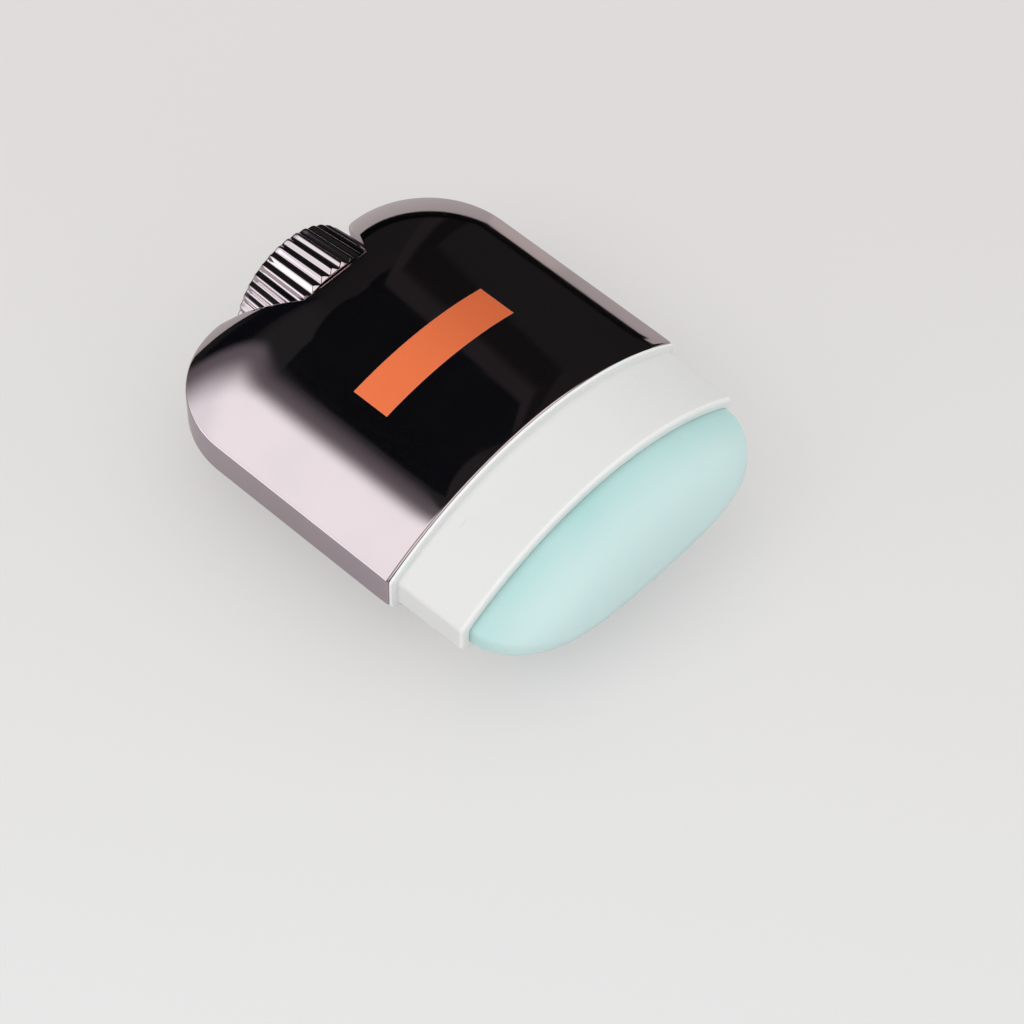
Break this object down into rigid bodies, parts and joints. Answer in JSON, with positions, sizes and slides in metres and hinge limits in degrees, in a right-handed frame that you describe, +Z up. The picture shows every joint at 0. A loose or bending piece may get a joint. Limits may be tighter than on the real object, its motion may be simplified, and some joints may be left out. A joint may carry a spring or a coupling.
{
  "type": "twist-up sunscreen stick",
  "caption": "Twist-up sunscreen stick, cap off: pillow-shaped plated casing, white collar, domed pale green bar and a fluted knob that a lead screw links to the bar.",
  "frame": {"origin": "middle of the bounding box on the surface that the stick lies on", "axes": "+Y along the stick towards the knob, the bar points to -Y; +X across its width; +Z up out of its front face"},
  "size_m": [0.05, 0.0628, 0.0209],
  "materials": {
    "rose_chrome_plating": "mirror-bright vacuum plating on plastic, tinted rose grey",
    "white_satin_plastic": "white satin moulding",
    "carrier_plastic": "natural polypropylene",
    "mint_sunscreen": "waxy solid, pale mint, soft sheen",
    "acetal": "smooth ivory bearing plastic",
    "silicone": "greased silicone cord",
    "spring_steel": "blanked spring steel"
  },
  "bodies": {
    "case": {"outer_case": "rose_chrome_plating", "inner_barrel": "white_satin_plastic", "knob_bush": "acetal", "thrust_washer": "acetal"},
    "knob": {"knob_shell": "rose_chrome_plating", "knob_core": "white_satin_plastic", "lead_screw": "acetal", "spindle_clip": "spring_steel", "spindle_o_ring": "silicone"},
    "bar": {"sunscreen_bar": "mint_sunscreen", "carrier": "carrier_plastic"}
  },
  "joints": [
    {"name": "knob_turn", "type": "hinge", "parent": "case", "child": "knob", "pos_m": [0, 0.025, 0.01046], "axis": [0, -1, 0], "range_deg": [-180, 1710]},
    {"name": "bar_rise", "type": "slide", "parent": "case", "child": "bar", "axis": [0, -1, 0], "range_m": [-0.002, 0.019]}
  ],
  "couplings": [
    {"joint": "bar_rise", "follows": "knob_turn", "m_per_rad": 0.00063662}
  ]
}
